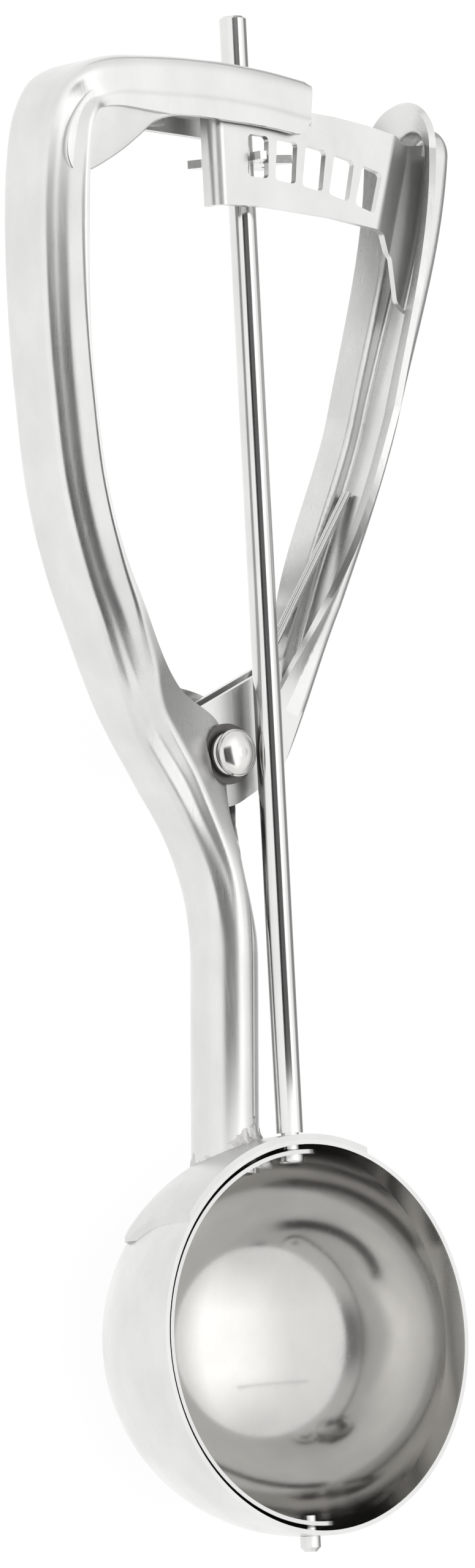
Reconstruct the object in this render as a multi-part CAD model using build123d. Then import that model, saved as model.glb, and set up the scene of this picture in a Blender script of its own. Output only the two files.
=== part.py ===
"""Squeeze-handle ice cream scoop: a bowl with a scraper that the lever sweeps through half a turn.

Frame while modelling: origin at the bowl's centre, +Y along the spindle towards the handle's top,
+Z out of the bowl's mouth, +X towards the lever.  The finished pieces are moved at the end so that
the origin is the bottom centre of the whole scoop.  Millimetres.
"""
import os
from math import asin, atan2, cos, degrees, hypot, radians, sin, tan

from build123d import *

# ---- sheet, wire and rod stock
SHEET = 1.0                # handle, lever and rack sheet
BACK_BEND = 1.6            # outer radius of the channel's long edges
JOGGLE_BEND = 1.0
WIRE_RADIUS = 0.40         # return spring wire
WIRE_GAP = 0.1             # between the spring's coil and the lever's ears
COIL_RADIUS = 2.95
COIL_SWEEP = 500           # degrees of wire round the pin before it leaves for the handle
LEG_STEP = 1.04            # between the spring's paired legs
RUNNING = 0.05             # radial clearance of a turning fit
GAP = 0.3                  # plain clearance between pieces that move past each other

# ---- bowl and scraper
BOWL_RADIUS = 28.6
BOWL_WALL = 0.7
RIM_HEIGHT = 4.25          # mouth above the bowl's centre
SADDLE_SHEET = 0.8
SCRAPER_SHEET = 0.6
SCRAPER_WIDTH = 7.2
SCRAPER_GAP = 0.5

# ---- spindle, pinion and rack
SPINDLE_RADIUS = 2.0
SPINDLE_TOP = 193.0
STUB_RADIUS = 1.35
PINION_Y = 171.6           # middle of the pinion's thickness
PINION_SHEET = 1.2
PINION_TEETH = 6
PINION_TIP = 7.6
PINION_ROOT = 3.8
TOOTH_WIDTH = 2.4
WINDOW_COUNT = 5
BAR_WIDTH = 1.45
WINDOW_HEIGHT = 6.2
WINDOW_CORNER = 0.7
JOGGLE = 1.3               # depth of the rack's welded end, set back from the windows
WELD_FLANGE = 1.9
WELD_GAP = 0.15            # the spot welds hold the flange this far off the lever
TURN = 180.0               # travel of the scraper

# ---- lever pivot
PIVOT_X = -6.4
PIVOT_Y = 85.0
PIN_RADIUS = 1.9
EAR_FRONT = -2.2           # outer face of the handle's front ear
EAR_REAR = -9.8            # outer face of the handle's rear ear
LEVER_EAR_RADIUS = 7.6
HANDLE_EAR_RADIUS = 6.0

# ---- neck tube beside the spindle
NECK_X = -6.2
NECK_Z = -6.0
NECK_RADIUS = 4.95
NECK_TOP = 76.0
SEAM = 0.5

# ---- values that follow
ear_mid = (EAR_FRONT + EAR_REAR) / 2
rack_radius = hypot(PIVOT_X, PINION_Y - PIVOT_Y)
mesh_angle = degrees(asin(-PIVOT_X / rack_radius))
pitch_angle = 3.517        # degrees of lever for one tooth
pitch_radius = rack_radius * cos(radians(mesh_angle)) * pitch_angle / (360 / PINION_TEETH)
lever_turn = pitch_angle * TURN * PINION_TEETH / 360
first_bar = 1.5            # how far the first bar stands past the spindle at rest


def ball_profile(radius):
    """Half outline of the bowl at a radius, to be turned about the mouth's axis."""
    wall = CenterArc((0, 0), radius, -90, 90) + Line((radius, 0), (radius, RIM_HEIGHT))
    close = Line((radius, RIM_HEIGHT), (0, RIM_HEIGHT)) + Line((0, RIM_HEIGHT), (0, -radius))
    return make_face(Plane.XZ * (wall + close))


def ball(radius):
    """Solid hemisphere with a short straight skirt up to the mouth."""
    return revolve(ball_profile(radius), Axis.Z)


def along_y(radius, low, high, x=0.0, z=0.0):
    """Cylinder along the spindle's direction between two heights."""
    return Pos(x, (low + high) / 2, z) * Rot(90, 0, 0) * Cylinder(radius, high - low)


def along_z(radius, low, high, x=PIVOT_X, y=PIVOT_Y):
    """Cylinder across the handle between two depths."""
    return Pos(x, y, (low + high) / 2) * Cylinder(radius, high - low)


def plate(outline, low, high):
    """Flat sheet piece lying in the handle's plane between two depths."""
    return Pos(0, 0, low) * extrude(make_face(outline), high - low, dir=(0, 0, 1))


def half_hat(half_web, side, flare, skirt):
    """Outer and inner corner points of one half of the pressed channel, from the skirt to the back."""
    lean = atan2(flare, skirt)
    outer = [(side + skirt, half_web + flare), (side, half_web), (0, half_web)]
    inner = [
        (SHEET, half_web - SHEET),
        (side + SHEET * tan(lean / 2), half_web - SHEET),
        (side + skirt + SHEET * sin(lean), half_web + flare - SHEET * cos(lean)),
    ]
    return outer, inner, [0, JOGGLE_BEND, BACK_BEND], [BACK_BEND - SHEET, JOGGLE_BEND, 0]


def across(station, tangent, mid):
    """Plane square to the channel's back: x runs inwards from the back, y towards the mouth."""
    inwards = Vector(0, 0, 1).cross(tangent)
    return Plane(origin=Vector(station.X, station.Y, mid), x_dir=inwards, z_dir=tangent)


def hat(plane, half_web, side, flare, skirt):
    """Cross-section of the pressed channel: back, two sides and a skirt that flares out."""
    outer, inner, soft_out, soft_in = half_hat(half_web, side, flare, skirt)
    below = [(x, -y) for x, y in reversed(outer)] + [(x, -y) for x, y in reversed(inner)]
    soft = soft_out + soft_out[::-1] + soft_in[::-1] + soft_in
    return plane * make_face(FilletPolyline(*outer, *below, *inner, radius=soft, close=True))


def channel(back, stations):
    """Sheet channel along its back line; each station gives height, depth offset and section."""
    faces = []
    for place, mid, *section in stations:
        plane = across(back.position_at(place), back.tangent_at(place), mid)
        faces.append(hat(plane, *section))
    sheet = loft(faces[:4])
    for first in range(3, len(faces) - 1, 3):
        sheet += loft(faces[first : first + 4])
    return sheet, plane


# ---- fixed handle: arm, grip, ears and neck pressed from one sheet
handle_back = Spline(
    (9.0, 183.2), (-4.0, 185.0), (-18.0, 185.4), (-29.0, 184.9), (-36.0, 181.6), (-39.6, 175.0),
    (-41.4, 164.0), (-41.8, 150.0), (-41.3, 136.0), (-39.8, 121.0), (-35.9, 107.5), (-27.6, 92.0),
    (-17.6, 79.0), (-10.8, 67.0),
)
grip, _ = channel(
    handle_back,
    [
        (0.0, 0.0, 7.0, 5.4, 1.0, 2.6),
        (0.10, 0.0, 7.0, 5.6, 1.0, 2.6),
        (0.19, 0.0, 6.9, 5.6, 1.1, 2.6),
        (0.275, 0.0, 5.2, 6.8, 2.9, 2.8),
        (0.36, 0.0, 4.5, 3.2, 3.5, 1.9),
        (0.50, 0.0, 4.5, 3.0, 3.5, 1.9),
        (0.64, 0.0, 4.5, 3.1, 3.5, 1.9),
        (0.74, -0.4, 4.5, 3.3, 3.3, 2.0),
        (0.83, -2.6, 4.5, 3.7, 2.4, 2.2),
        (0.90, -5.6, 4.0, 4.4, 0.6, 2.6),
        (0.95, ear_mid, 3.65, 4.6, 0.1, 2.8),
        (1.0, ear_mid, 3.65, 3.6, 0.1, 2.6),
    ],
)
spindle_hole = along_y(SPINDLE_RADIUS + RUNNING, 175, 190)
arm_outline = Pos(-18.7, 181.4) * Rectangle(50, 10.4)
arm_outline = fillet(arm_outline.vertices().group_by(Axis.X)[-1], 3)
arm_end = Pos(14.3, 180) * Box(30, 30, 30) - extrude(arm_outline, 20, both=True)

front_ear_edge = Polyline(
    (-21, 92.5), (-12.5, 92.4), (-8, 91), (-3.4, 88.6), (-2.9, 86), (-3.6, 81.2), (-4.2, 76.2),
    (-6.2, 66), (-9, 66), (-14, 79), (-21, 92.5),
)
rear_ear_edge = Polyline(
    (-21, 92.5), (-6, 93), (1, 90.5), (4.8, 86), (4.6, 80.3), (2.4, 77), (2.4, 69), (-1, 62),
    (-8, 62), (-14, 79), (-21, 92.5),
)
front_ear = plate(front_ear_edge, EAR_FRONT - SHEET, EAR_FRONT)
rear_ear = plate(rear_ear_edge, EAR_REAR, EAR_REAR + SHEET)
pin_hole = along_z(PIN_RADIUS, EAR_REAR - 5, EAR_FRONT + 5)

neck_foot = Vector(NECK_X - 1.3, 24.0, NECK_Z)
neck_head = Vector(NECK_X + 1.3, NECK_TOP - 4, NECK_Z)
neck_line = neck_head - neck_foot
neck_plane = Plane(origin=neck_foot, x_dir=(0, 0, 1), z_dir=neck_line)
neck_rod = neck_plane * extrude(Circle(NECK_RADIUS), neck_line.length)
neck_core = neck_plane * extrude(Circle(NECK_RADIUS - SHEET), neck_line.length)
neck_seam = Pos(NECK_X + 1.2, 46, NECK_Z + 5) * Rot(0, 0, -3) * Box(SEAM, 60, 6)
saddle_skin = ball(BOWL_RADIUS + SADDLE_SHEET)
neck = neck_rod - neck_core - neck_seam
lever_room = along_z(LEVER_EAR_RADIUS + GAP, EAR_REAR + SHEET, EAR_FRONT - SHEET)
fixed_handle = grip - arm_end - spindle_hole - lever_room + front_ear + rear_ear + neck - saddle_skin - pin_hole

# ---- bowl, its saddle and the braze at the neck's foot
bowl = ball(BOWL_RADIUS) - ball(BOWL_RADIUS - BOWL_WALL)
bowl -= Pos(0, 0, RIM_HEIGHT + 5) * Cylinder(BOWL_RADIUS - BOWL_WALL, 10.001)
spindle_bore = along_y(STUB_RADIUS + RUNNING, 20, 40)
pin_bore = along_y(1.0, -40, -20)
bowl = bowl - spindle_bore - pin_bore

saddle_shape = Pos(-6.0, 20, -5.5) * extrude(Plane.XZ * RectangleRounded(34, 19.5, 7), 20, both=True)
saddle_shape += Pos(-6.0, 20, -0.5) * Box(34, 40, 9.5)
saddle_block = saddle_shape & (saddle_skin - Pos(0, -30, 0) * Box(90, 90, 90))
bowl_saddle = saddle_block - ball(BOWL_RADIUS) - spindle_bore

braze_line = neck_plane * Cone(7.6, 5.1, 10.0, align=(Align.CENTER, Align.CENTER, Align.MIN))
neck_braze = braze_line - neck_rod - saddle_skin - along_y(SPINDLE_RADIUS + GAP, 20, 50)

# ---- lever: channel closed at its top by a rounded end, two ears round the pin
lever_back = Spline(
    (7.0, 84.5), (9.8, 89.5), (12.8, 97.5), (14.2, 103.2), (15.8, 109.6), (18.1, 117.2),
    (21.0, 124.5), (23.8, 131.1), (29.5, 146.4), (32.8, 155.6), (36.1, 166.5), (37.3, 173.6),
)
end_section = (4.5, 4.0, 3.4, 2.1)
blade, end_plane = channel(
    lever_back,
    [
        (0.0, ear_mid, 2.5, 4.0, 0.1, 2.4),
        (0.08, ear_mid, 2.6, 4.0, 0.2, 2.4),
        (0.17, ear_mid + 0.8, 3.4, 3.0, 1.0, 2.2),
        (0.25, -3.2, 4.1, 2.5, 2.2, 1.8),
        (0.34, -1.2, 4.5, 2.3, 3.3, 1.4),
        (0.44, 0.0, 4.5, 2.3, 3.5, 1.3),
        (0.56, 0.0, 4.5, 2.3, 3.5, 1.3),
        (0.70, 0.0, 4.5, 2.7, 3.5, 1.5),
        (0.85, 0.0, 4.5, 3.3, 3.5, 1.8),
        (1.0, 0.0, *end_section),
    ],
)
end_outer, end_inner, end_soft_out, end_soft_in = half_hat(*end_section)
end_points = [*end_outer, (0, 0), (SHEET, 0), *end_inner]
end_soft = [*end_soft_out, 0, 0, *end_soft_in]
end_profile = end_plane * make_face(FilletPolyline(*end_points, radius=end_soft, close=True))
lever_end = revolve(end_profile, Axis(end_plane.origin, end_plane.x_dir), 180)
if lever_end.bounding_box().max.Y < end_plane.origin.Y + 5:
    lever_end = revolve(end_profile, Axis(end_plane.origin, end_plane.x_dir), -180)

lever_ear_outer = EAR_FRONT - SHEET - GAP
lever_ear_edge = make_hull(
    (Pos(PIVOT_X, PIVOT_Y) * Circle(LEVER_EAR_RADIUS)).edges()
    + Polyline((5.0, 82.5), (9.6, 91.5), (7.0, 99.5)).edges()
)
lever_ear = extrude(lever_ear_edge, SHEET)
lever_front_ear = Pos(0, 0, lever_ear_outer - SHEET) * lever_ear
lever_rear_ear = Pos(0, 0, EAR_REAR + SHEET + GAP) * lever_ear
lever_bore = along_z(PIN_RADIUS + RUNNING, EAR_REAR - 5, EAR_FRONT + 5)
behind_ears = Pos(0, 82, EAR_REAR + SHEET + GAP - 5) * Box(26, 34, 10)
lever = blade - behind_ears + lever_end + lever_front_ear + lever_rear_ear - lever_bore

# ---- rack: a plate of windows whose bars drive the pinion, welded to the lever's back
first_bar_angle = degrees(asin((first_bar - PIVOT_X) / rack_radius))
plate_edge = Polyline(
    (-14, 178.0), (7, 178.8), (14, 178.2), (20.5, 177.2), (29.5, 175.2), (42, 176.2), (42, 149),
    (30.5, 149.0), (27.4, 152), (26.8, 158.5), (23.5, 161.6), (12.4, 163.3), (0, 164.3), (-14, 164.3),
    (-14, 178.0),
)
rack_blank = extrude(fillet(make_face(plate_edge).vertices(), 1.2), 12, both=True)
front_line = FilletPolyline((-8.7, 2.4), (-8.7, pitch_radius), (19.5, pitch_radius), radius=1.2)
rack_front = extrude(Plane.XZ * trace(front_line, SHEET), 200, dir=(0, 1, 0))
joggle_line = FilletPolyline(
    (12.0, pitch_radius), (21.8, pitch_radius), (27.6, JOGGLE), (30.6, JOGGLE), radius=1.5
)
rack_joggle = extrude(Plane.XZ * trace(joggle_line, SHEET), 100, dir=(0.30, 1.0, 0))
weld_faces = []
for place in (0.70, 0.80, 0.90, 1.0):
    plane = across(lever_back.position_at(place), lever_back.tangent_at(place), JOGGLE)
    foot = FilletPolyline(
        (6.0, 0), (1.5 * SHEET + WELD_GAP, 0), (1.5 * SHEET + WELD_GAP, WELD_FLANGE), radius=1.0
    )
    weld_faces.append(plane * trace(foot, SHEET))
rack_weld = loft(weld_faces)
rack = (rack_front + Pos(-0.3 * 64, 100, 0) * rack_joggle + rack_weld) & rack_blank
window = extrude(RectangleRounded(
    rack_radius * radians(pitch_angle) - BAR_WIDTH, WINDOW_HEIGHT, WINDOW_CORNER), 12, both=True)
for number in range(WINDOW_COUNT):
    swing = first_bar_angle + (number - 0.5) * pitch_angle
    rack -= Pos(PIVOT_X, PIVOT_Y) * Rot(0, 0, -swing) * Pos(0, rack_radius, 0) * window

# ---- spindle with the pinion on it
stub_end = BOWL_RADIUS - BOWL_WALL - SCRAPER_GAP - SCRAPER_SHEET
shoulder = BOWL_RADIUS + SADDLE_SHEET + GAP
spindle = along_y(SPINDLE_RADIUS, shoulder, SPINDLE_TOP)
spindle = chamfer(spindle.edges().sort_by(Axis.Y)[-1:], 0.35)
spindle += along_y(STUB_RADIUS, stub_end, shoulder)

tooth = Polyline(
    (-TOOTH_WIDTH / 2, 0), (-TOOTH_WIDTH / 2, 5.6), (-0.5, PINION_TIP), (0.5, PINION_TIP),
    (TOOTH_WIDTH / 2, 5.6), (TOOTH_WIDTH / 2, 0), (-TOOTH_WIDTH / 2, 0),
)
pinion_face = Sketch() + Circle(PINION_ROOT)
mesh_phase = (first_bar_angle - mesh_angle) / pitch_angle * 360 / PINION_TEETH
for number in range(PINION_TEETH):
    around = mesh_phase + (number + 0.5) * 360 / PINION_TEETH
    pinion_face += Rot(0, 0, -around) * make_face(tooth)
pinion_face -= Circle(SPINDLE_RADIUS)
pinion = Pos(0, PINION_Y, 0) * Rot(90, 0, 0) * extrude(pinion_face, PINION_SHEET / 2, both=True)

# ---- scraper: a strip of the same sphere, held at both ends of the bowl's axis
scraper_outer = BOWL_RADIUS - BOWL_WALL - SCRAPER_GAP
scraper_skin = Sphere(scraper_outer) - Sphere(scraper_outer - SCRAPER_SHEET)
scraper_shape = Pos(-20, 0, 0) * Box(40, 80, SCRAPER_WIDTH) + along_y(SCRAPER_WIDTH / 2, -40, 40)
scraper = scraper_skin & scraper_shape
scraper = scraper - along_y(STUB_RADIUS, 10, 40) - along_y(1.0 + RUNNING, -40, -10)
scraper_rivet = along_y(1.9, stub_end - 1.5, stub_end)
scraper_rivet &= Sphere(scraper_outer - SCRAPER_SHEET)
scraper_rivet = fillet(scraper_rivet.edges().sort_by(Axis.Y)[:1], 0.6)

pin_inner = -(scraper_outer - SCRAPER_SHEET - 1.2)
bottom_pin = along_y(1.0, -BOWL_RADIUS, pin_inner)
pin_head = along_y(1.5, -BOWL_RADIUS - 2.2, -BOWL_RADIUS)
bottom_pin += chamfer(pin_head.edges().sort_by(Axis.Y)[:1], 0.6)

# ---- pivot pin, washer and return spring
head_dome = Pos(PIVOT_X, PIVOT_Y, -5.6) * Sphere(7.6)
pin_head = along_z(3.5, -0.6, 1.6) & head_dome
pin_tail = along_z(3.2, EAR_REAR - 1.1, EAR_REAR)
pivot_pin = along_z(PIN_RADIUS, EAR_REAR, -0.6) + pin_head
pivot_pin += chamfer(pin_tail.edges().sort_by(Axis.Z)[:1], 0.5)
pivot_washer = along_z(3.1, EAR_FRONT, -1.2) - along_z(PIN_RADIUS, EAR_FRONT, -1.2)
pivot_washer = chamfer(pivot_washer.edges().group_by(Axis.Z)[-1].sort_by(SortBy.LENGTH)[-1:], 0.25)

coil_pitch = 2 * WIRE_RADIUS + 0.02
coil_low = EAR_REAR + 2 * SHEET + GAP + WIRE_GAP + WIRE_RADIUS
coil_high = coil_low + coil_pitch * COIL_SWEEP / 360 + 2 * WIRE_RADIUS + 0.03
leg_step = Vector(0, 0, LEG_STEP)


def around_pin(angle, depth):
    """Point of the spring's coil, by its angle about the pin."""
    return Vector(PIVOT_X, PIVOT_Y, depth) + Vector(COIL_RADIUS, 0, 0).rotate(Axis.Z, angle)


coil = [around_pin(-20 - turn, coil_low + coil_pitch * turn / 360) for turn in range(0, COIL_SWEEP + 1, 25)]
half_coil = [around_pin(turn - 160, coil_high) for turn in range(0, 141, 20)]
lever_leg = [Vector(18.9, 123.8, -2.4), Vector(4.9, 99.2, -6.3)]
handle_leg = [Vector(-15.5, 89.5, -5.9), Vector(-26.8, 96.3, -3.9)]
back_again = [point + leg_step for point in handle_leg[::-1]]
last_leg = [point + leg_step for point in lever_leg[::-1]]
spring_line = Polyline(*lever_leg, *coil, *handle_leg, *back_again, *half_coil, *last_leg)
spring_start = Plane(origin=spring_line @ 0, z_dir=spring_line % 0)
return_spring = sweep(spring_start * Circle(WIRE_RADIUS), spring_line, transition=Transition.RIGHT)

# ---- every piece moved so that the origin is the bottom centre of the scoop
pieces = {
    "bowl": bowl,
    "bowl_saddle": bowl_saddle,
    "neck_braze": neck_braze,
    "fixed_handle": fixed_handle,
    "lever": lever,
    "rack": rack,
    "spindle": spindle,
    "pinion": pinion,
    "scraper": scraper,
    "scraper_rivet": scraper_rivet,
    "bottom_pin": bottom_pin,
    "pivot_pin": pivot_pin,
    "pivot_washer": pivot_washer,
    "return_spring": return_spring,
}
whole = Compound(list(pieces.values())).bounding_box()
to_origin = Pos(-whole.center().X, -whole.center().Y, -whole.min.Z)

os.makedirs("parts", exist_ok=True)
for name, piece in pieces.items():
    export_step(to_origin * piece.solid(), f"parts/{name}.step")
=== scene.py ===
"""Looks of the squeeze-handle ice cream scoop: pressed shells, turned details, finishes, stage and camera."""

import bmesh
import bpy
import numpy as np
from mathutils import Matrix, Vector, noise


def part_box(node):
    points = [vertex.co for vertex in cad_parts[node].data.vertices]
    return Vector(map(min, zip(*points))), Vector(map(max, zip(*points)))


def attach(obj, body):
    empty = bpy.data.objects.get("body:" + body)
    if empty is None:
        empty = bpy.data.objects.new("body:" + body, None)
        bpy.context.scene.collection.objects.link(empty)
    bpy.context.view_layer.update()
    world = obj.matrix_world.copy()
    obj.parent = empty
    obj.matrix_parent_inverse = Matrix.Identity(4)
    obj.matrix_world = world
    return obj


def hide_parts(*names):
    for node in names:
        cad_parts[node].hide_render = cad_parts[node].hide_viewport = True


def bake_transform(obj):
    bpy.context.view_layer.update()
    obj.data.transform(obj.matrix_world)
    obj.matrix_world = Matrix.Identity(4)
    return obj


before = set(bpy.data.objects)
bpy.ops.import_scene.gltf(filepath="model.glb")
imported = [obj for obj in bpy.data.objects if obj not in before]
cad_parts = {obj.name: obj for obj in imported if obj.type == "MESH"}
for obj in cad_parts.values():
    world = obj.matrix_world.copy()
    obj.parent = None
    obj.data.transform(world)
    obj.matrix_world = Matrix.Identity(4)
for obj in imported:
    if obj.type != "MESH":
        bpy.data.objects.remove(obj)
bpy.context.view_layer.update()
scene = bpy.context.scene

MM = 0.001
WHITE = (1.0, 1.0, 1.0, 1.0)
BOWL_RADIUS = 28.6 * MM

bowl_low, bowl_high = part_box("bowl")
bowl_centre = Vector((
    (bowl_low.x + bowl_high.x) / 2, (bowl_low.y + bowl_high.y) / 2, bowl_low.z + BOWL_RADIUS,
))


def placed(spot):
    """Place in the frame of a spot given in millimetres from the bowl's centre."""
    return bowl_centre + Vector(spot) * MM


# ---- node helpers
class Wire:
    """One value in a node tree; arithmetic on wires adds the Math nodes."""

    def __init__(self, finish, socket):
        self.finish = finish
        self.socket = socket

    def maths(self, operation, first, second):
        return self.finish.node("ShaderNodeMath", {"operation": operation}, {0: first, 1: second})

    def __add__(self, other):
        return self.maths("ADD", self, other)

    def __sub__(self, other):
        return self.maths("SUBTRACT", self, other)

    def __rsub__(self, other):
        return self.maths("SUBTRACT", other, self)

    def __mul__(self, other):
        return self.maths("MULTIPLY", self, other)

    def __truediv__(self, other):
        return self.maths("DIVIDE", self, other)


class Finish:
    """A node tree that is filled one node at a time."""

    def __init__(self, tree):
        self.tree = tree
        tree.nodes.clear()

    def node(self, kind, settings=None, inputs=None, output=0):
        made = self.tree.nodes.new(kind)
        for key, value in (settings or {}).items():
            if key == "stops":
                while len(made.color_ramp.elements) < len(value):
                    made.color_ramp.elements.new(0.5)
                for stop, (place, shade) in zip(made.color_ramp.elements, value):
                    stop.position = place
                    stop.color = (shade, shade, shade, 1.0)
            else:
                setattr(made, key, value)
        for name, value in (inputs or {}).items():
            if isinstance(value, Wire):
                self.tree.links.new(value.socket, made.inputs[name])
            else:
                made.inputs[name].default_value = value
        return Wire(self, made.outputs[output]) if made.outputs else made


def new_finish(name):
    material = bpy.data.materials.new(name)
    material.use_nodes = True
    return material, Finish(material.node_tree)


def grain(finish, place, scale, detail, roughness):
    """Noise stretched by a scale for each direction, in noise cells for each metre."""
    stretched = finish.node("ShaderNodeVectorMath", {"operation": "MULTIPLY"}, {0: place, 1: scale})
    return finish.node(
        "ShaderNodeTexNoise", None,
        {"Vector": stretched, "Scale": 1.0, "Detail": detail, "Roughness": roughness},
    )


def ramp(finish, value, low, high):
    """Value stretched so that low becomes 0 and high becomes 1."""
    return finish.node("ShaderNodeMapRange", None, {"Value": value, "From Min": low, "From Max": high})


def mixed(finish, blend, factor, first, second):
    """Two colours put together by a factor."""
    return finish.node(
        "ShaderNodeMix", {"data_type": "RGBA", "blend_type": blend},
        {"Factor": factor, "A": first, "B": second}, "Result",
    )


def along(finish, place, axis):
    """One coordinate of a place."""
    return finish.node("ShaderNodeSeparateXYZ", None, {"Vector": place}, axis)


def glow(finish, colour, strength):
    return finish.node("ShaderNodeEmission", None, {"Color": colour, "Strength": strength}, "Emission")


# ---- steel: cells for each metre, and the two noise values between which a mark fades in
SCRATCH_STRETCH, SCRATCH_BAND = 0.35, (0.62, 0.74)
SMUDGE_CELLS, SMUDGE_BAND = (140.0, 90.0, 140.0), (0.32, 0.72)
PIT_CELLS, PIT_BAND = (2600.0, 2600.0, 2600.0), (0.70, 0.80)
SMUDGE_DIM = (0.86, 0.86, 0.865)
# how far each mark moves the colour, the roughness and the height
SMUDGE_TONE, LINE_TONE, PIT_TONE = 0.55, 0.3, 0.15
LINE_ROUGHNESS, SCRATCH_ROUGHNESS, ROUGHNESS_DROP = 0.12, 0.06, 0.06
LINE_HEIGHT, SCRATCH_DEPTH = 0.5, 0.5
# the bowl's inside is smoother and a little warmer than its outside, and darker with painted shade of its
# hollow
INSIDE_BAND = (BOWL_RADIUS - 0.30 * MM, BOWL_RADIUS - 0.45 * MM)
INSIDE_SHADE_TINT = (0.82, 0.81, 0.795, 1.0)
INSIDE_POLISH, INSIDE_FLATTENING = 0.62, 0.7


def steel(name, shade, rough, brush, brush_depth=0.006, smudge=0.06, pits=0.0, mirror_and_shade_inside=False):
    """Stainless steel: brushed along one direction, with smudges, fine scratches and a few pits."""
    material, finish = new_finish(name)
    place = finish.node("ShaderNodeTexCoord", None, None, "Object")
    lines = grain(finish, place, brush, 3.0, 0.65)
    scratch_cells = [part * SCRATCH_STRETCH for part in brush]
    scratches = ramp(finish, grain(finish, place, scratch_cells, 2.0, 0.5), *SCRATCH_BAND)
    patches = ramp(finish, grain(finish, place, SMUDGE_CELLS, 3.0, 0.55), *SMUDGE_BAND)
    speckle = ramp(finish, grain(finish, place, PIT_CELLS, 1.0, 0.5), *PIT_BAND)
    tone = mixed(
        finish, "MIX", patches * SMUDGE_TONE + lines * LINE_TONE + speckle * PIT_TONE * pits,
        (*shade, 1.0), (*(part * dim for part, dim in zip(shade, SMUDGE_DIM)), 1.0),
    )
    roughness = (
        patches * smudge + lines * LINE_ROUGHNESS + scratches * SCRATCH_ROUGHNESS + (rough - ROUGHNESS_DROP)
    )
    height = lines * LINE_HEIGHT - scratches * SCRATCH_DEPTH - speckle * pits
    if mirror_and_shade_inside:
        from_centre = finish.node(
            "ShaderNodeVectorMath", {"operation": "DISTANCE"}, {0: place, 1: bowl_centre}, "Value"
        )
        inside = ramp(finish, from_centre, *INSIDE_BAND)
        # painted shade: the bowl's inside is darkened by this tint
        tone = mixed(finish, "MULTIPLY", inside, tone, INSIDE_SHADE_TINT)
        roughness = roughness * (1 - inside * INSIDE_POLISH)
        height = height * (1 - inside * INSIDE_FLATTENING)
    bump = finish.node(
        "ShaderNodeBump", None, {"Height": height, "Strength": 1.0, "Distance": brush_depth * MM}, "Normal"
    )
    surface = finish.node(
        "ShaderNodeBsdfPrincipled", None,
        {"Base Color": tone, "Metallic": 1.0, "Roughness": roughness, "Normal": bump}, "BSDF",
    )
    finish.node("ShaderNodeOutputMaterial", None, {"Surface": surface})
    return material


# ---- mesh helpers
EDGE_SHARP, TURNED_SHARP = 0.9, 0.8  # radians past which an edge is shaded sharp
RIM_ANGLE = 1.0  # radians past which a plate's edge is rounded
TURNED_SIDES = 56
SAME_PLACE = 1e-7


def stitch(made, rings):
    """Faces between each closed ring of vertices and the next one."""
    for low, high in zip(rings, rings[1:]):
        for first in range(len(low)):
            second = (first + 1) % len(low)
            made.faces.new((low[first], low[second], high[second], high[first]))


def smooth_object(name, made, sharp=None):
    """Smooth-shaded object in the scene from a bmesh, which is freed."""
    mesh = bpy.data.meshes.new(name)
    made.to_mesh(mesh)
    made.free()
    mesh.shade_smooth()
    if sharp is not None:
        mesh.set_sharp_from_angle(angle=sharp)
    piece = bpy.data.objects.new(name, mesh)
    scene.collection.objects.link(piece)
    return piece


def plate_piece(name, outline, low, high, soft, body):
    """Flat sheet piece with rounded edges, from a smooth outline."""
    made = bmesh.new()
    face = made.faces.new([made.verts.new(tuple(placed((x, y, low)))) for x, y in outline])
    grown = bmesh.ops.extrude_face_region(made, geom=[face])
    raised = [part for part in grown["geom"] if isinstance(part, bmesh.types.BMVert)]
    bmesh.ops.translate(made, verts=raised, vec=(0, 0, (high - low) * MM))
    bmesh.ops.recalc_face_normals(made, faces=made.faces)
    rims = [edge for edge in made.edges if len(edge.link_faces) == 2 and edge.calc_face_angle(0) > RIM_ANGLE]
    bmesh.ops.bevel(made, geom=rims, offset=soft * MM, segments=3, profile=0.5, affect="EDGES")
    piece = smooth_object(name, made, EDGE_SHARP)
    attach(piece, body)
    return piece


def turned(name, profile, centre, body):
    """Solid of revolution about an axis along Z, from (radius, z) pairs."""
    made = bmesh.new()
    rings = []
    for radius, height in profile:
        ring = []
        for place in range(TURNED_SIDES):
            angle = 2 * np.pi * place / TURNED_SIDES
            spot = (centre[0] + radius * np.cos(angle), centre[1] + radius * np.sin(angle), height)
            ring.append(made.verts.new(tuple(placed(spot))))
        rings.append(ring)
    stitch(made, rings)
    bmesh.ops.remove_doubles(made, verts=made.verts, dist=SAME_PLACE)
    bmesh.ops.recalc_face_normals(made, faces=made.faces)
    piece = smooth_object(name, made, TURNED_SHARP)
    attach(piece, body)
    return piece


# ---- pressed sheet, drawn as rows of sections along its back
SHEET = 1.0
HALF_POINTS = 46  # points in one side of a section
BEND_STEPS, FLOW_STEPS = 7, 24
REACH_LIMIT = 0.49  # most of a side that the bend at one of its ends takes
STRAIGHT = 0.9999  # cosine at which a corner counts as straight
EDGE_BULGE = 0.5
TABLE_PASSES, TURNING_PASSES = 8, 6
LEAN = 0.45  # share of the flare by which the back is narrower than the side
SOFT_LEAST, SOFT_GROWTH = 1.0, 1.2  # bend radius of the side, and its growth with the flare
LIP_LEAST = 0.4  # least depth of the free edge past the slope
BACK_ROUNDING = 0.35  # share of the end's rounding that the back shows


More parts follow.
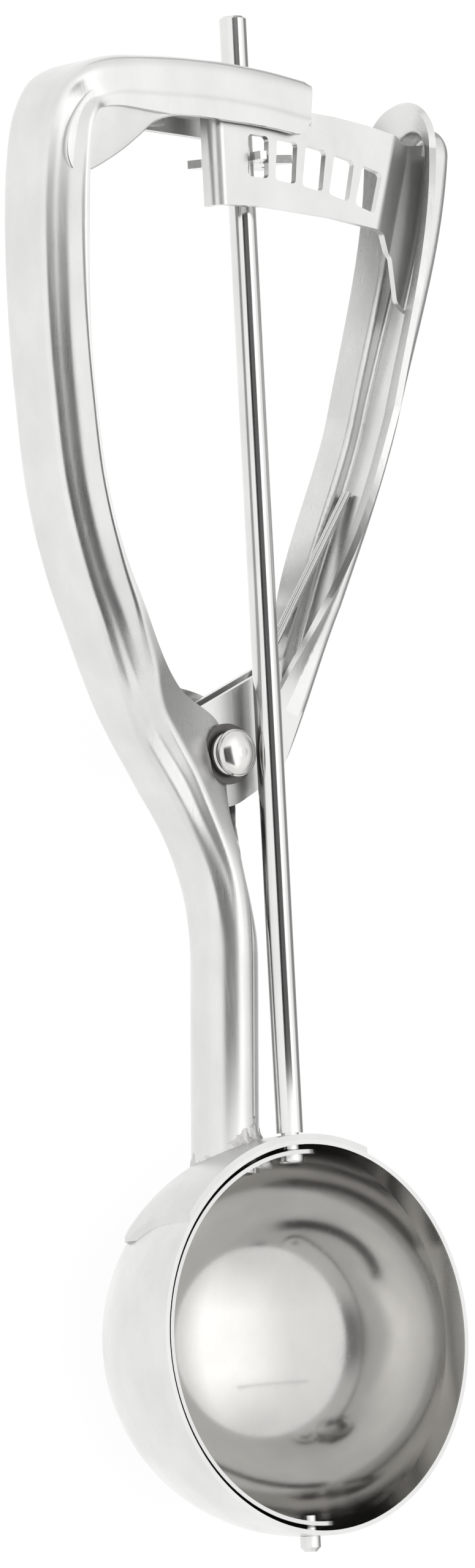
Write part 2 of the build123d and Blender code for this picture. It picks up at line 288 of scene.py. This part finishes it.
def rounded(corners, radii):
    """Polyline whose corners are replaced by arcs."""
    corners = [np.array(corner, float) for corner in corners]
    line = [corners[0]]
    for before, corner, after, radius in zip(corners, corners[1:], corners[2:], radii):
        back, on = before - corner, after - corner
        back_length, on_length = np.linalg.norm(back), np.linalg.norm(on)
        back, on = back / back_length, on / on_length
        half = np.arccos(np.clip(back @ on, -STRAIGHT, STRAIGHT)) / 2
        reach = min(radius / np.tan(half), back_length * REACH_LIMIT, on_length * REACH_LIMIT)
        start, end = corner + back * reach, corner + on * reach
        for step in range(BEND_STEPS + 1):
            share = step / BEND_STEPS
            line.append((1 - share) ** 2 * start + 2 * share * (1 - share) * corner + share**2 * end)
    line.append(corners[-1])
    return np.array(line)


def even(line, count):
    """Polyline with its points moved to even distances."""
    reach = np.r_[0, np.cumsum(np.linalg.norm(np.diff(line, axis=0), axis=1))]
    places = np.linspace(0, reach[-1], count)
    return np.stack([np.interp(places, reach, line[:, axis]) for axis in range(line.shape[1])], axis=1)


def flowing(points, count):
    """Smooth curve through points, evenly divided."""
    points = np.array(points, float)
    ends = np.vstack([2 * points[0] - points[1], points, 2 * points[-1] - points[-2]])
    line = []
    for first in range(len(points) - 1):
        a, b, c, d = ends[first : first + 4]
        for share in np.linspace(0, 1, FLOW_STEPS, endpoint=False):
            line.append(
                0.5 * (2 * b + (c - a) * share + (2 * a - 5 * b + 4 * c - d) * share**2
                       + (3 * b - a - 3 * c + d) * share**3)
            )
    line.append(points[-1])
    return even(np.array(line), count)


def softened(values, passes):
    """Values along the rows with their kinks smoothed away."""
    for _ in range(passes):
        padded = np.r_[values[:1], values, values[-1:]]
        values = (padded[:-2] + 2 * padded[1:-1] + padded[2:]) / 4
    return values


def sheet_rows(outer_rows, normals, thick):
    """Closed ring of points for each row: outer face, rounded free edge, inner face."""
    rows = []
    for outer, normal in zip(outer_rows, normals):
        inner = outer - normal * thick
        first = (outer[0] + inner[0]) / 2 + (outer[0] - outer[1]) * EDGE_BULGE
        last = (outer[-1] + inner[-1]) / 2 + (outer[-1] - outer[-2]) * EDGE_BULGE
        rows.append(np.vstack([outer, last[None], inner[::-1], first[None]]))
    return rows


def shell_piece(name, rows, body):
    """Sheet piece from closed rings of points in millimetres, with both ends closed."""
    made = bmesh.new()
    rings = [[made.verts.new(tuple(placed(point))) for point in row] for row in rows]
    stitch(made, rings)
    half = (len(rings[0]) - 2) // 2
    for ring in (rings[0], rings[-1]):
        outer, last, inner, first = ring[:half], ring[half], ring[half + 1 : -1][::-1], ring[-1]
        for place in range(half - 1):
            made.faces.new((outer[place], outer[place + 1], inner[place + 1], inner[place]))
        made.faces.new((outer[-1], last, inner[-1]))
        made.faces.new((outer[0], inner[0], first))
    bmesh.ops.recalc_face_normals(made, faces=made.faces)
    piece = smooth_object(name, made, EDGE_SHARP)
    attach(piece, body)
    return piece


def half_line(value, depth, dip):
    """One side of the channel's section, from the middle of its back to its free edge."""
    half_web, side, flare = value["half_web"], value["side"], value["flare"]
    soft = SOFT_LEAST + SOFT_GROWTH * flare
    foot = side + value["slope"]
    corners = [
        (0, 0), (0, half_web - LEAN * flare), (side, half_web), (foot, half_web + flare),
        (max(depth, foot + LIP_LEAST), half_web + flare - dip),
    ]
    return even(rounded(corners, [value["bend"], soft, soft]), HALF_POINTS)


def tube_line(radius, sweep):
    """One side of the neck's section, from the back round to the seam."""
    angles = np.linspace(0, np.radians(sweep), HALF_POINTS)
    return np.stack([radius - radius * np.cos(angles), radius * np.sin(angles)], axis=1)


def channel_rows(back, table, tube_share, tube_radius, sweeps, end_round):
    """Section rings along a back line; the table gives each value at shares of the line."""
    count = len(back)
    shares = np.linspace(0, 1, count)
    columns = {
        key: softened(np.interp(shares, table[:, 0], table[:, place]), TABLE_PASSES)
        for place, key in enumerate(TABLE_COLUMNS) if place
    }
    turning = softened(np.interp(shares, *tube_share), TURNING_PASSES)
    tangents = np.gradient(back, axis=0)
    tangents /= np.linalg.norm(tangents, axis=1)[:, None]
    length = np.linalg.norm(np.diff(back, axis=0), axis=1).sum()
    outer_rows, normal_rows = [], []
    for row in range(count):
        value = {key: column[row] for key, column in columns.items()}
        sides = []
        for depth, dip, sweep in (
            (value["front"], value["dip"], sweeps[0]), (value["rear"], 0.0, sweeps[1]),
        ):
            hat = half_line(value, depth, dip)
            sides.append((1 - turning[row]) * hat + turning[row] * tube_line(tube_radius, sweep))
        front, rear = sides
        line = np.vstack([front[::-1], rear[1:] * (1, -1)])
        left = end_round - min(shares[row] * length, end_round)
        inset = end_round - np.sqrt(max(end_round**2 - left**2, 0))
        line[:, 0] = np.clip(line[:, 0], inset * BACK_ROUNDING, line[:, 0].max() - inset)
        step = np.gradient(line, axis=0)
        step /= np.maximum(np.linalg.norm(step, axis=1), 1e-9)[:, None]
        normal = np.stack([step[:, 1], -step[:, 0]], axis=1)
        inwards = np.array((-tangents[row][1], tangents[row][0]))
        for target, pairs, origin in ((outer_rows, line, 1), (normal_rows, normal, 0)):
            flat = origin * back[row] + pairs[:, :1] * inwards
            across = pairs[:, 1] + origin * value["mid"]
            target.append(np.column_stack([flat, across]))
    return outer_rows, normal_rows


# ---- the handle: arm, corner, grip, ears and neck in one pressed shell
HANDLE_ROWS = 240
NECK_RADIUS = 4.95
NECK_SWEEPS = (104, 248)  # degrees from the back round to the seam, in front and behind
NECK_TURN = ([0.0, 0.74, 0.84, 1.0], [0.0, 0.0, 1.0, 1.0])  # shares of the back, how far it is a tube
ARM_END_ROUND = 2.6
TABLE_COLUMNS = ("share", "mid", "half_web", "side", "slope", "flare", "front", "rear", "dip", "bend")

handle_back = flowing(
    [(9.0, 183.2), (0.0, 184.6), (-10.0, 185.4), (-20.0, 185.5), (-28.5, 185.0), (-34.0, 183.0),
     (-37.6, 179.4), (-39.8, 174.0), (-41.3, 164.0), (-41.8, 150.0), (-41.3, 136.0), (-39.8, 121.0),
     (-35.9, 107.5), (-27.6, 92.0), (-17.6, 79.0), (-13.4, 72.2), (-11.2, 66.0), (-10.5, 59.0),
     (-10.9, 50.0), (-11.7, 37.0), (-12.4, 24.5)],
    HANDLE_ROWS,
)
handle_table = np.array([
    # share, mid, half web, side, slope, flare, front depth, rear depth, dip, back bend
    (0.00, 0.0, 7.0, 5.6, 0.6, 0.2, 8.6, 8.6, 0.0, 2.3),
    (0.08, 0.0, 7.0, 5.6, 0.6, 0.2, 8.9, 8.9, 0.0, 2.3),
    (0.14, 0.0, 7.0, 5.6, 0.6, 0.2, 8.6, 8.6, 0.0, 2.3),
    (0.212, 0.0, 6.6, 5.0, 0.6, 0.2, 6.6, 6.6, 0.0, 3.2),
    (0.222, 0.0, 5.9, 3.6, 1.5, 1.8, 5.8, 5.8, 0.0, 3.2),
    (0.27, 0.0, 5.8, 3.5, 1.6, 2.1, 6.0, 6.0, 0.0, 3.2),
    (0.31, 0.0, 5.7, 3.5, 1.6, 2.2, 6.3, 6.3, 0.0, 3.1),
    (0.42, 0.0, 5.6, 3.4, 1.6, 2.3, 5.5, 5.5, 0.0, 3.0),
    (0.55, 0.0, 5.6, 3.4, 1.6, 2.3, 5.7, 5.7, 0.0, 3.0),
    (0.60, -0.6, 5.5, 3.4, 1.6, 2.2, 6.3, 6.0, 0.0, 3.0),
    (0.65, -2.6, 5.0, 3.4, 1.6, 1.7, 7.6, 8.0, 0.2, 2.8),
    (0.69, -4.6, 4.1, 3.4, 1.5, 1.3, 11.0, 15.0, 1.6, 2.3),
    (0.73, -5.6, 4.2, 3.4, 1.4, 1.0, 15.6, 22.0, 2.6, 2.4),
    (0.765, -5.8, 4.2, 3.4, 1.3, 0.8, 9.0, 18.0, 1.8, 3.0),
    (0.80, -6.0, 4.6, 3.4, 1.2, 0.5, 6.5, 14.0, 0.4, 3.6),
    (1.00, -6.0, 4.9, 3.4, 1.2, 0.3, 6.5, 14.0, 0.0, 4.0),
])
handle_rows = sheet_rows(
    *channel_rows(handle_back, handle_table, NECK_TURN, NECK_RADIUS, NECK_SWEEPS, ARM_END_ROUND), SHEET
)
handle_shell = shell_piece("pressed_handle", handle_rows, "handle")
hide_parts("fixed_handle")

# ---- thin gussets in the handle's upper corner
GUSSET_NEAR, GUSSET_FAR, GUSSET_EDGE = 5.6, 6.5, 0.3  # from the middle plane, and edge radius

gusset_outline = flowing(
    [(-9.0, 177.3), (-13.0, 177.0), (-17.0, 176.7), (-20.9, 175.6), (-24.0, 173.4), (-26.9, 171.4),
     (-30.0, 169.6), (-33.6, 167.9), (-36.6, 167.6), (-37.8, 170.5), (-36.6, 175.0), (-33.0, 179.4),
     (-28.0, 182.2), (-20.0, 183.0), (-12.0, 182.6), (-8.6, 180.5), (-9.0, 177.3)],
    120,
)[:-1]
gussets = [
    plate_piece("corner_gusset_front", gusset_outline, GUSSET_NEAR, GUSSET_FAR, GUSSET_EDGE, "handle"),
    plate_piece("corner_gusset_rear", gusset_outline, -GUSSET_FAR, -GUSSET_NEAR, GUSSET_EDGE, "handle"),
]

# ---- lumpy weld round the neck's foot, larger on the rod's side
AROUND, RISES = 72, 15
ROD_BEARING = 0.75  # radians round the neck
WELD_RADIUS, LUMP_RADIUS = 4.78, 4.9
WELD_FOOT, WELD_TOP, WELD_CLIMB = 1.0, 4.2, 5.0
FLARE_LEAST, FLARE_GROWTH, FLARE_FALL = 0.35, 1.5, 1.5
LUMPS = ((0.6, 0.9), (1.7, 0.5))  # noise cells for each millimetre, weight
LUMP_LEAST, LUMP_GROWTH = 0.18, 0.85

neck_foot = np.array((-7.5, 24.0, -6.0))
neck_up = np.array((2.6, 48.0, 0.0)) / np.hypot(2.6, 48.0)
side_x = np.array((neck_up[1], -neck_up[0], 0.0))
side_z = np.array((0.0, 0.0, 1.0))
weld = bmesh.new()
weld_rings = []
for rise in range(RISES + 1):
    share = rise / RISES
    ring = []
    for place in range(AROUND):
        angle = 2 * np.pi * place / AROUND
        toward_rod = (0.5 + 0.5 * np.cos(angle - ROD_BEARING)) ** 3
        top = WELD_TOP + WELD_CLIMB * toward_rod
        level = neck_foot + neck_up * (WELD_FOOT + (top - WELD_FOOT) * share)
        outwards = side_x * np.cos(angle) + side_z * np.sin(angle)
        flare = (FLARE_LEAST + FLARE_GROWTH * toward_rod) * (1 - share) ** FLARE_FALL
        lump = sum(
            noise.noise(Vector(level + outwards * LUMP_RADIUS) * cells) * weight for cells, weight in LUMPS
        )
        radius = WELD_RADIUS + flare + lump * (LUMP_LEAST + LUMP_GROWTH * toward_rod)
        ring.append(weld.verts.new(tuple(placed(level + outwards * radius))))
    weld_rings.append(ring)
stitch(weld, weld_rings)
weld.faces.new(weld_rings[0][::-1])
weld.faces.new(weld_rings[-1])
bmesh.ops.recalc_face_normals(weld, faces=weld.faces)
neck_weld = smooth_object("neck_weld", weld)
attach(neck_weld, "handle")
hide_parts("neck_braze")

# ---- domed pivot pin
PIN_X, PIN_Y = -6.4, 85.0
DOME_START, DOME_TOP, DOME_STEPS = -8, 90, 15  # degrees up the dome
DOME_RADIUS, DOME_FALL, DOME_FLAT, DOME_SINK = 3.5, 0.85, 0.55, 0.05
pin_low, pin_high = (corner.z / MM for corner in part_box("pivot_pin"))
pin_low, pin_high = pin_low - bowl_centre.z / MM, pin_high - bowl_centre.z / MM
pin_profile = [
    (0.0, pin_low), (1.4, pin_low), (1.9, pin_low + 0.5),
    (1.9, -1.2), (2.5, -1.15), (2.5, -0.62), (3.2, -0.6),
]
for lift in np.linspace(DOME_START, DOME_TOP, DOME_STEPS):
    bearing = np.radians(lift)
    radius = DOME_RADIUS * np.cos(bearing) ** DOME_FALL if lift < DOME_TOP else DOME_FLAT
    pin_profile.append((radius, pin_high * np.sin(bearing)))
pin_profile.append((0.0, pin_high - DOME_SINK))
domed_pin = turned("domed_pin", pin_profile, (PIN_X, PIN_Y), "handle")
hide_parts("pivot_pin")

# ---- dark dish round the pin, at the height of the ear's front: painted shadow of the recess under the pin's head
PROBES, PROBE_RADIUS, PROBE_HEIGHT = 12, 3.6, 12.0
EAR_LIMIT = 1.0  # what a probe meets above this isn't the ear
bpy.context.view_layer.update()
ear_heights = []
for place in range(PROBES):
    angle = np.pi * place / (PROBES / 2)
    spot = (PIN_X + PROBE_RADIUS * np.cos(angle), PIN_Y + PROBE_RADIUS * np.sin(angle), PROBE_HEIGHT)
    hit, found, _, _ = handle_shell.ray_cast(placed(spot), (0, 0, -1))
    if hit:
        ear_heights.append((found.z - bowl_centre.z) / MM)
ear_front = max(height for height in ear_heights if height < EAR_LIMIT)
DISH_PROFILE = ((2.3, -0.5), (2.3, -0.02), (3.3, 0.02), (4.1, 0.10), (4.4, 0.06), (4.45, -0.5), (2.3, -0.5))
pin_shadow_dish = turned(
    "pin_shadow_dish", [(radius, ear_front + rise) for radius, rise in DISH_PROFILE], (PIN_X, PIN_Y), "handle"
)

# ---- spring: a copy of the solid's own wire, in the solid's place
solid_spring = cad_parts["return_spring"]
spring_wire = bpy.data.objects.new("bent_spring", solid_spring.data.copy())
spring_wire.matrix_world = solid_spring.matrix_world.copy()
scene.collection.objects.link(spring_wire)
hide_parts("return_spring")
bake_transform(spring_wire)

# ---- finishes: shades, and brush cells for each metre
BRIGHT = (0.703, 0.703, 0.694)
CLEAR = (0.694, 0.694, 0.684)
PLAIN = (0.684, 0.684, 0.675)
ALONG_GRIP = (5200.0, 160.0, 5200.0)
ROUND_BOWL = (2200.0, 2200.0, 5200.0)


def all_ways(cells):
    return (cells, cells, cells)


finishes = {
    "fixed_handle": steel("satin_grip", BRIGHT, 0.27, ALONG_GRIP),
    "lever": steel("satin_lever", BRIGHT, 0.26, ALONG_GRIP),
    "rack": steel("stamped_rack", CLEAR, 0.30, all_ways(2400.0), smudge=0.10, pits=0.5),
    "bowl": steel("spun_bowl", BRIGHT, 0.25, ROUND_BOWL, mirror_and_shade_inside=True),
    "bowl_saddle": steel("pressed_saddle", (0.666, 0.666, 0.657), 0.30, all_ways(1800.0), pits=0.3),
    "neck_braze": steel("brazed_joint", (0.611, 0.606, 0.592), 0.34, all_ways(900.0), 0.05, 0.15, pits=1.0),
    "spindle": steel("drawn_spindle", BRIGHT, 0.13, (7000.0, 60.0, 7000.0), 0.002, 0.03),
    "pinion": steel("cut_pinion", PLAIN, 0.25, (3000.0, 3000.0, 300.0)),
    "scraper": steel("sheet_scraper", PLAIN, 0.16, all_ways(1500.0), 0.002),
    "scraper_rivet": steel("turned_rivet", CLEAR, 0.18, all_ways(2500.0)),
    "bottom_pin": steel("turned_pin", CLEAR, 0.20, (2500.0, 6000.0, 2500.0)),
    "pivot_pin": steel("pressed_head", (0.666, 0.657, 0.638), 0.16, all_ways(1500.0), 0.003),
    "pivot_washer": steel("flat_washer", (0.647, 0.647, 0.638), 0.28, all_ways(2500.0)),
    "return_spring": steel("spring_wire", (0.629, 0.629, 0.62), 0.22, all_ways(3000.0)),
}
for node_name, material in finishes.items():
    for material_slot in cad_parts[node_name].material_slots:
        material_slot.material = material
handle_shell.data.materials.append(finishes["fixed_handle"])
for gusset in gussets:
    gusset.data.materials.append(finishes["rack"])
neck_weld.data.materials.append(finishes["neck_braze"])
domed_pin.data.materials.append(finishes["pivot_pin"])
# the dish's near-black colour is painted shadow round the pin
pin_shadow_dish.data.materials.append(steel("painted_shadow_dish", (0.11, 0.105, 0.10), 0.34, all_ways(1500.0), pits=0.4))
spring_wire.data.materials.clear()
spring_wire.data.materials.append(finishes["return_spring"])

# ---- floor: white to the camera, a table with a dark right side to the steel
FLOOR_SIZE, FLOOR_DROP = 6.0, 0.0002
PAPER = (0.92, 0.92, 0.92, 1.0)
LIT_SHARE = 0.92  # how much of what the camera sees is plain white
TABLE_SHIFT = 0.45
TABLE_STOPS = ((0.0, 0.92), (0.50, 0.92), (0.54, 0.35), (1.0, 0.25))  # metres to +X, shifted; brightness
MIRRORED_STRENGTH = 1.3

bpy.ops.mesh.primitive_plane_add(size=FLOOR_SIZE, location=(0, 0, -FLOOR_DROP))
floor = bpy.context.active_object
floor.name = "floor"
floor_material, finish = new_finish("pale_floor")
seen = finish.node("ShaderNodeLightPath", None, None, "Is Camera Ray")
mirrored = finish.node("ShaderNodeLightPath", None, None, "Is Glossy Ray")
place = finish.node("ShaderNodeTexCoord", None, None, "Object")
to_right = along(finish, place, "X")
table_edge = finish.node(
    "ShaderNodeValToRGB", {"stops": TABLE_STOPS}, {"Fac": to_right + TABLE_SHIFT}, "Color"
)
paper = finish.node("ShaderNodeBsdfDiffuse", None, {"Color": PAPER}, "BSDF")
white = glow(finish, WHITE, 1.0)
reflected = glow(finish, table_edge, MIRRORED_STRENGTH)
shown = finish.node("ShaderNodeMixShader", None, {0: seen * LIT_SHARE, 1: paper, 2: white}, "Shader")
floor_mix = finish.node("ShaderNodeMixShader", None, {0: mirrored, 1: shown, 2: reflected}, "Shader")
finish.node("ShaderNodeOutputMaterial", None, {"Surface": floor_mix})
floor.data.materials.append(floor_material)

# ---- world: white to the camera, a studio with bright and dark sides to the steel
# share of a turn about Y (0.5 towards +X, 0.75 towards +Z), brightness
STUDIO_STOPS = (
    (0.0, 0.8), (0.50, 0.22), (0.56, 0.28), (0.60, 0.90), (0.65, 0.95), (0.69, 1.5), (0.76, 1.35),
    (0.82, 1.1), (0.85, 1.0), (1.0, 0.95),
)
ENDS_BAND = (0.30, 0.75)  # how far along Y the studio goes over into its even ends
ENDS_SHADE = (0.86, 0.86, 0.86, 1.0)
SKY_STRENGTH = 1.3

world = bpy.data.worlds.new("studio")
scene.world = world
world.use_nodes = True
finish = Finish(world.node_tree)
seen = finish.node("ShaderNodeLightPath", None, None, "Is Camera Ray")
direction = finish.node("ShaderNodeTexCoord", None, None, "Generated")
to_right = along(finish, direction, "X")
to_top = along(finish, direction, "Z")
bearing = finish.node("ShaderNodeMath", {"operation": "ARCTAN2"}, {0: to_top, 1: to_right})
studio = finish.node(
    "ShaderNodeValToRGB", {"stops": STUDIO_STOPS}, {"Fac": bearing / (2 * np.pi) + 0.5}, "Color"
)
to_ends = along(finish, direction, "Y")
ends = ramp(finish, finish.node("ShaderNodeMath", {"operation": "ABSOLUTE"}, {0: to_ends}), *ENDS_BAND)
room = mixed(finish, "MIX", ends, studio, ENDS_SHADE)
sky = finish.node("ShaderNodeBackground", None, {"Color": room, "Strength": SKY_STRENGTH}, "Background")
backdrop = finish.node("ShaderNodeBackground", None, {"Color": WHITE, "Strength": 1.0}, "Background")
both = finish.node("ShaderNodeMixShader", None, {0: seen, 1: sky, 2: backdrop}, "Shader")
finish.node("ShaderNodeOutputWorld", None, {"Surface": both})

# ---- lamps
LAMP_TARGET = Vector((0, 0, 0.02))


def lamp(name, place, size, power):
    """Rectangular soft lamp that faces the scoop's middle and isn't mirrored in it."""
    data = bpy.data.lights.new(name, "AREA")
    data.shape = "RECTANGLE"
    data.size, data.size_y = size
    data.energy = power
    made = bpy.data.objects.new(name, data)
    scene.collection.objects.link(made)
    made.location = place
    made.rotation_euler = (LAMP_TARGET - Vector(place)).to_track_quat("-Z", "Y").to_euler()
    made.visible_glossy = False


lamp("key_panel", (-0.55, -0.1, 0.75), (0.5, 0.9), 2.2)
lamp("fill_panel", (0.65, 0.25, 0.55), (0.4, 0.8), 1.2)

# ---- camera: it stands this many millimetres left of, above and back from the bowl's centre
SENSOR_WIDTH = 36.0
FOCAL_PIXELS, FRAME_PIXELS = 16936.5, 2560
STAND_LEFT, STAND_UP, STAND_BACK = 9.0378, 80.164, 1500.0
camera_right = Vector((0.76606, -0.05074, 0.64083))
camera_up = Vector((-0.01124, 0.99566, 0.09228))
camera_back = Vector((-0.64273, -0.07789, 0.76215))
camera_data = bpy.data.cameras.new("studio_camera")
camera = bpy.data.objects.new("studio_camera", camera_data)
scene.collection.objects.link(camera)
scene.camera = camera
camera_data.sensor_width = SENSOR_WIDTH
camera_data.lens = SENSOR_WIDTH * FOCAL_PIXELS / FRAME_PIXELS
camera_data.clip_end = 10.0
turn = Matrix((camera_right, camera_up, camera_back)).transposed().to_4x4()
stand = bowl_centre - (STAND_LEFT * camera_right - STAND_UP * camera_up - STAND_BACK * camera_back) * MM
camera.matrix_world = Matrix.Translation(stand) @ turn

# ---- studio cards: edge-on to the bowl, mirrored by the rods and bends above it
CARD_RISE = 0.45
CARD_NEAR, CARD_FAR = 0.10, 0.75
CARD_BEARINGS = 9
MIRROR_REACH, MIRROR_DROP = 0.0275, 0.0048
card_front = Vector((camera_back.x, 0, camera_back.z)).normalized()
card_right = Vector((camera_right.x, 0, camera_right.z)).normalized()


def heading(angle):
    """Level direction at an angle from the camera's side towards its right."""
    return card_front * np.cos(angle) + card_right * np.sin(angle)


def card(name, start, stop, shade):
    """Fan-shaped card from bearing start to stop, in degrees from the camera to its right."""
    bearings = np.radians(np.linspace(start, stop, CARD_BEARINGS))
    ring = []
    for reach in (CARD_NEAR, CARD_FAR):
        for angle in bearings:
            out = heading(angle) + Vector((0, CARD_RISE, 0))
            mirror_spot = bowl_centre - heading(angle / 2) * MIRROR_REACH - Vector((0, MIRROR_DROP, 0))
            ring.append(tuple(mirror_spot + out * reach))
    mesh = bpy.data.meshes.new(name)
    count = len(bearings)
    mesh.from_pydata(
        ring, [], [(first, first + 1, count + first + 1, count + first) for first in range(count - 1)]
    )
    made = bpy.data.objects.new(name, mesh)
    scene.collection.objects.link(made)
    material, finish = new_finish(name)
    finish.node("ShaderNodeOutputMaterial", None, {"Surface": glow(finish, WHITE, shade)})
    mesh.materials.append(material)
    made.visible_camera = made.visible_diffuse = made.visible_shadow = False


card("black_card", -4.0, 11.0, 0.02)
card("grey_card", 11.0, 43.0, 0.13)

scene.view_settings.view_transform = "Standard"
